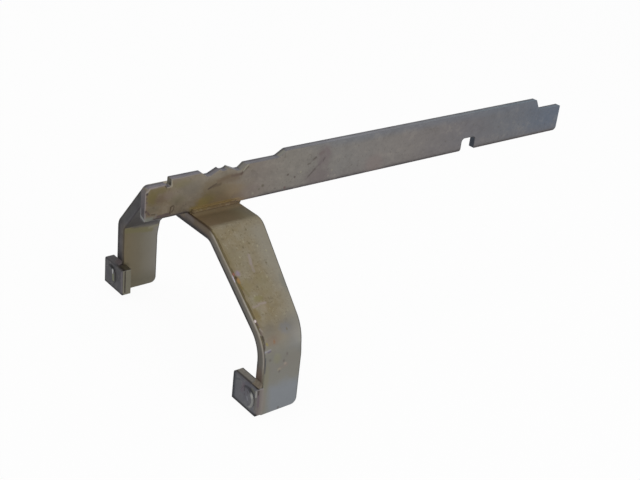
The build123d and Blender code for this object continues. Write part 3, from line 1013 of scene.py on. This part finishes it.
# The near pad's top from front to back: a dark band of painted shade on the front rounding, then
# grey, then painted shade where the top meets the leg.
PAD_TOP_ALONG = {
    20.8: tone(84, 82, 86),
    21.3: tone(58, 54, 52),
    21.8: tone(64, 58, 53),
    22.5: tone(132, 127, 118),
    24.8: tone(138, 133, 124),
    25.2: tone(60, 56, 52),
}
PAD_END_ALONG = {20.3: tone(96, 91, 86), 22.3: tone(110, 102, 98), 24.0: tone(126, 119, 113)}
PAD_STROKES = [
    ((20.3, -52.6, -60.5), (20.3, -52.6, -72.0), 1.5, tone(62, 66, 72), 0.7),
    ((20.3, -51.7, -59.5), (20.3, -51.7, -72.5), 1.3, tone(30, 34, 40), 0.9),
    ((20.3, -53.4, -61.7), (20.3, -56.8, -60.2), 0.4, tone(64, 68, 74), 0.7),
    ((20.3, -52.5, -72.9), (20.3, -70.0, -72.9), 1.3, tone(26, 27, 31), 0.88),
    ((20.3, -60.0, -71.0), (20.3, -66.0, -71.6), 0.4, tone(108, 108, 112), 0.5),
    ((19.5, -61.6, -60.6), (19.5, -63.2, -60.2), 0.5, tone(64, 54, 60), 0.75),
    ((19.5, -61.8, -62.0), (19.5, -61.9, -63.0), 0.5, tone(60, 50, 56), 0.75),
    ((19.5, -64.2, -62.4), (19.5, -64.6, -63.0), 0.45, tone(66, 58, 62), 0.7),
    ((19.5, -62.2, -64.6), (19.5, -62.2, -65.2), 0.4, tone(66, 60, 66), 0.7),
    ((19.5, -64.2, -65.4), (19.5, -64.8, -66.6), 0.45, tone(122, 122, 130), 0.75),
    ((20.3, -60.2, -61.4), (20.3, -60.0, -64.0), 1.3, tone(94, 82, 90), 0.6),
    ((20.3, -66.6, -60.0), (20.3, -68.6, -60.8), 0.7, tone(98, 98, 86), 0.7),
    # Painted highlight on the near pad's outer vertical edge.
    ((20.3, -69.5, -59.6), (20.3, -69.7, -62.6), 0.28, tone(166, 164, 158), 0.85),
    ((20.3, -69.3, -63.5), (20.3, -69.3, -70.0), 0.5, tone(98, 95, 88), 0.7),
    ((21.5, -69.9, -59.4), (21.5, -69.9, -61.6), 0.35, tone(56, 48, 46), 0.9),
    ((21.6, -69.9, -62.0), (21.8, -69.9, -68.0), 0.5, tone(92, 80, 90), 0.7),
    ((20.3, 69.5, -57.0), (20.3, 69.5, -70.8), 0.9, tone(18, 18, 20), 0.9),
    ((20.3, 69.0, -70.9), (20.3, 51.6, -70.9), 1.1, tone(24, 23, 26), 0.88),
    ((19.5, 66.0, -62.0), (19.5, 64.0, -66.0), 1.4, tone(64, 62, 71), 0.6),
    ((20.3, 57.6, -58.5), (20.3, 56.8, -68.0), 0.9, tone(76, 74, 76), 0.7),
    # A painted glint on the far boss's rim, and below it a yellowish rest of that painted
    # highlight.
    ((19.5, 60.4, -59.4), (19.5, 59.8, -61.6), 0.5, tone(168, 168, 168), 0.95),
    ((19.5, 59.5, -62.2), (19.5, 59.2, -65.4), 0.5, tone(122, 126, 92), 0.95),
    ((20.4, 51.9, -57.6), (20.4, 51.6, -69.6), 0.45, tone(100, 95, 98), 0.8),
    ((20.4, 53.0, -57.6), (20.4, 53.0, -69.5), 0.4, tone(70, 64, 72), 0.7),
    ((22.0, 51.2, -57.2), (22.1, 51.2, -69.6), 0.35, tone(52, 44, 40), 0.9),
]
NEAR_BOSS = (-63.2, -65.9)
FAR_BOSS = (63.8, -63.8)
# Rings of painted highlight on the side of each boss's rim that faces the light, and of painted
# shade beyond it.
BOSS_LIGHT_AND_SHADE_RINGS = [
    (NEAR_BOSS, (4.5, 5.3), (-64.7, -66.3, -64.0, -66.0), tone(132, 132, 130), 0.9),
    (NEAR_BOSS, (4.5, 5.4), (-65.8, -67.4, -66.2, -62.6), tone(164, 164, 160), 0.9),
    (NEAR_BOSS, (5.6, 6.5), (-64.2, -65.8, -64.0, -60.0), tone(60, 59, 58), 0.8),
    (FAR_BOSS, (5.2, 6.2), (63.4, 62.2, -61.5, -58.0), tone(42, 44, 42), 0.85),
]


def boss_ring(finish, middle, band, side):
    """A ring about a boss's middle, in Y and Z, faded in to one side.

    The reach is |(y - my, z - mz)|, and the ring is 1 where it lies within the band. The side has
    a Y where the ring starts to show and one where it is full, and the same in Z.
    """
    my, mz = middle
    across = finish.vector("MULTIPLY_ADD", finish.place, (0.0, 1.0, 1.0), (0.0, -my, -mz))
    reach = finish.vector("LENGTH", across, output="Value") + finish.rag * 0.5
    start_y, full_y, start_z, full_z = side
    ring = reach.band(*band, 0.3)
    return ring * finish.y.ramp(start_y, full_y) * finish.z.ramp(start_z, full_z)


def pad_faces(finish, coat, near, far):
    """The pads' narrow ends and tops, which differ between the two; the tops carry painted shade
    at the near pad's front rounding and by its leg, over the far pad's top and in its corner by
    the leg.
    """
    end = finish.ny.ramp(-0.75, -0.95)
    coat.lay(end * near, finish.along(finish.x, PAD_END_ALONG), 0.9)
    coat.lay(end * far, tone(122, 118, 103), 0.9)
    upward = finish.nz.ramp(0.6, 0.9)
    coat.lay(upward * near, finish.along(finish.x, PAD_TOP_ALONG), 0.9)
    # Painted shade over the far pad's top.
    coat.lay(upward * far, tone(58, 55, 56), 0.9)
    # Painted shade in the corner between the far pad's top and its leg, lighter towards the back.
    inner = upward * far * finish.y.ramp(58.0, 56.5)
    coat.lay(inner, tone(66, 60, 52), 0.85)
    coat.lay(inner * finish.x.ramp(21.6, 23.4), tone(98, 92, 76), 0.8)


def pad_edges(finish, coat):
    """The slanted rims of the bosses, in front of the pads, and the pads' own broken edges:
    painted highlight where they face the lamp, painted shade on the rims' upper sides and on the
    edges that face down or away.
    """
    slanted = abs(finish.nx).band(0.5, 0.9, 0.1)
    rim = slanted * finish.x.ramp(PAD_FRONT_X - 0.05, PAD_FRONT_X - 0.2)
    # Painted highlight on the rims' sides that face the lamp, painted shade on their upper sides.
    coat.lay(rim * finish.ny.ramp(-0.1, -0.45), tone(84, 84, 82), 0.8)
    coat.lay(rim * finish.nz.ramp(0.3, 0.6), tone(58, 58, 62), 0.7)
    slanted = abs(finish.nx).band(0.3, 0.9, 0.1)
    broken = slanted * finish.x.ramp(PAD_FRONT_X - 0.2, PAD_FRONT_X - 0.05)
    # Painted highlight on the broken edges that face the lamp, painted shade on those that face
    # down or away.
    coat.lay(broken * finish.ny.ramp(-0.2, -0.5), tone(112, 108, 108), 0.6)
    coat.lay(broken * finish.nz.ramp(-0.2, -0.5), tone(22, 21, 25), 0.92)
    coat.lay(broken * finish.ny.ramp(0.2, 0.5), tone(44, 46, 52), 0.85)


def pad_finish():
    """The pads' rubbed steel: a darker far pad, the faces and edges with their painted light and
    shade, the rings of painted highlight and shade, and the strokes.
    """
    finish = Finish("pad_steel")
    cloud = finish.noise(6.0, detail=4.0, rough=0.6, seed=41.0)
    colour = finish.along(cloud, PAD_CLOUD)
    coat = Coat(finish, colour, finish.noise(3.0, seed=43.0) * 0.3 + 0.3, metal=0.6)
    far = finish.y.ramp(-10.0, 10.0)
    near = 1.0 - far
    coat.lay(far, tone(54, 53, 56), 0.85)
    coat.mottle(2.0, 0.16, 45.0)
    pad_faces(finish, coat, near, far)
    pad_edges(finish, coat)
    # The boss rings are painted highlight and painted shade.
    for middle, band, side, colour, amount in BOSS_LIGHT_AND_SHADE_RINGS:
        ring = boss_ring(finish, middle, band, side) * finish.nx.ramp(0.0, -0.3)
        coat.lay(ring, colour, amount)
    for start, end, width, colour, amount in PAD_STROKES:
        coat.lay(finish.stroke(start, end, width, soft=0.5, ragged=0.7), colour, amount)
    return coat.finished()


pad_steel = pad_finish()
print("pad nodes:", len(pad_steel.node_tree.nodes))

# %% [markdown]
# The beads are browned by their own heat. The long ones run from brown to straw and back, and a
# painted highlight makes them lightest where they face straight up, making up for the shade there,
# so that they melt into the rail as the real ones do. The small ones at the pads are greyer.

# %% Dress the beads and hand out the finishes
BEAD_ALONG = {
    24: tone(100, 84, 61),
    29: tone(109, 92, 53),
    36: tone(100, 82, 52),
    46: tone(101, 82, 56),
    51: tone(95, 79, 62),
}


def bead_finish():
    """The weld's steel: heat tints along the roof's beads, with a painted highlight on their tops,
    and greyer beads at the pads.
    """
    finish = Finish("weld_steel")
    cloud = finish.noise(3.0, detail=4.0, rough=0.6, seed=51.0)
    colour = finish.along(finish.x + (cloud - 0.5) * 10.0, BEAD_ALONG)
    coat = Coat(finish, colour, finish.noise(1.5, seed=53.0) * 0.3 + 0.45, metal=0.25)
    coat.lay(finish.nz.band(0.3, 0.75, 0.15), tone(86, 70, 44), 0.35)
    # Painted highlight where the beads face straight up.
    coat.lay(finish.nz.ramp(0.85, 0.97), tone(156, 134, 88), 0.6)
    coat.lay(finish.z.ramp(0.6, 0.2), tone(98, 84, 62), 0.7)
    at_pads = finish.z.ramp(-30.0, -50.0)
    coat.lay(at_pads, tone(122, 112, 99), 0.9)
    coat.lay(at_pads * finish.y.ramp(-10.0, 10.0), tone(72, 64, 68), 0.9)
    coat.mottle(1.6, 0.2, 55.0)
    return coat.finished(relief=0.08)


def dress(nodes, material):
    """Gives CAD nodes one material."""
    for name in nodes:
        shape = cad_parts[name]
        shape.data.materials.clear()
        shape.data.materials.append(material)


dress(["shift_rail"], rail_zinc)
dress(["fork_strap"], strap_zinc)
dress(["near_pad", "far_pad"], pad_steel)
dress([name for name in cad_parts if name.endswith("_weld")], bead_finish())
print("faces:", {name: len(shape.data.polygons) for name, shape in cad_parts.items()})

# %% [markdown]
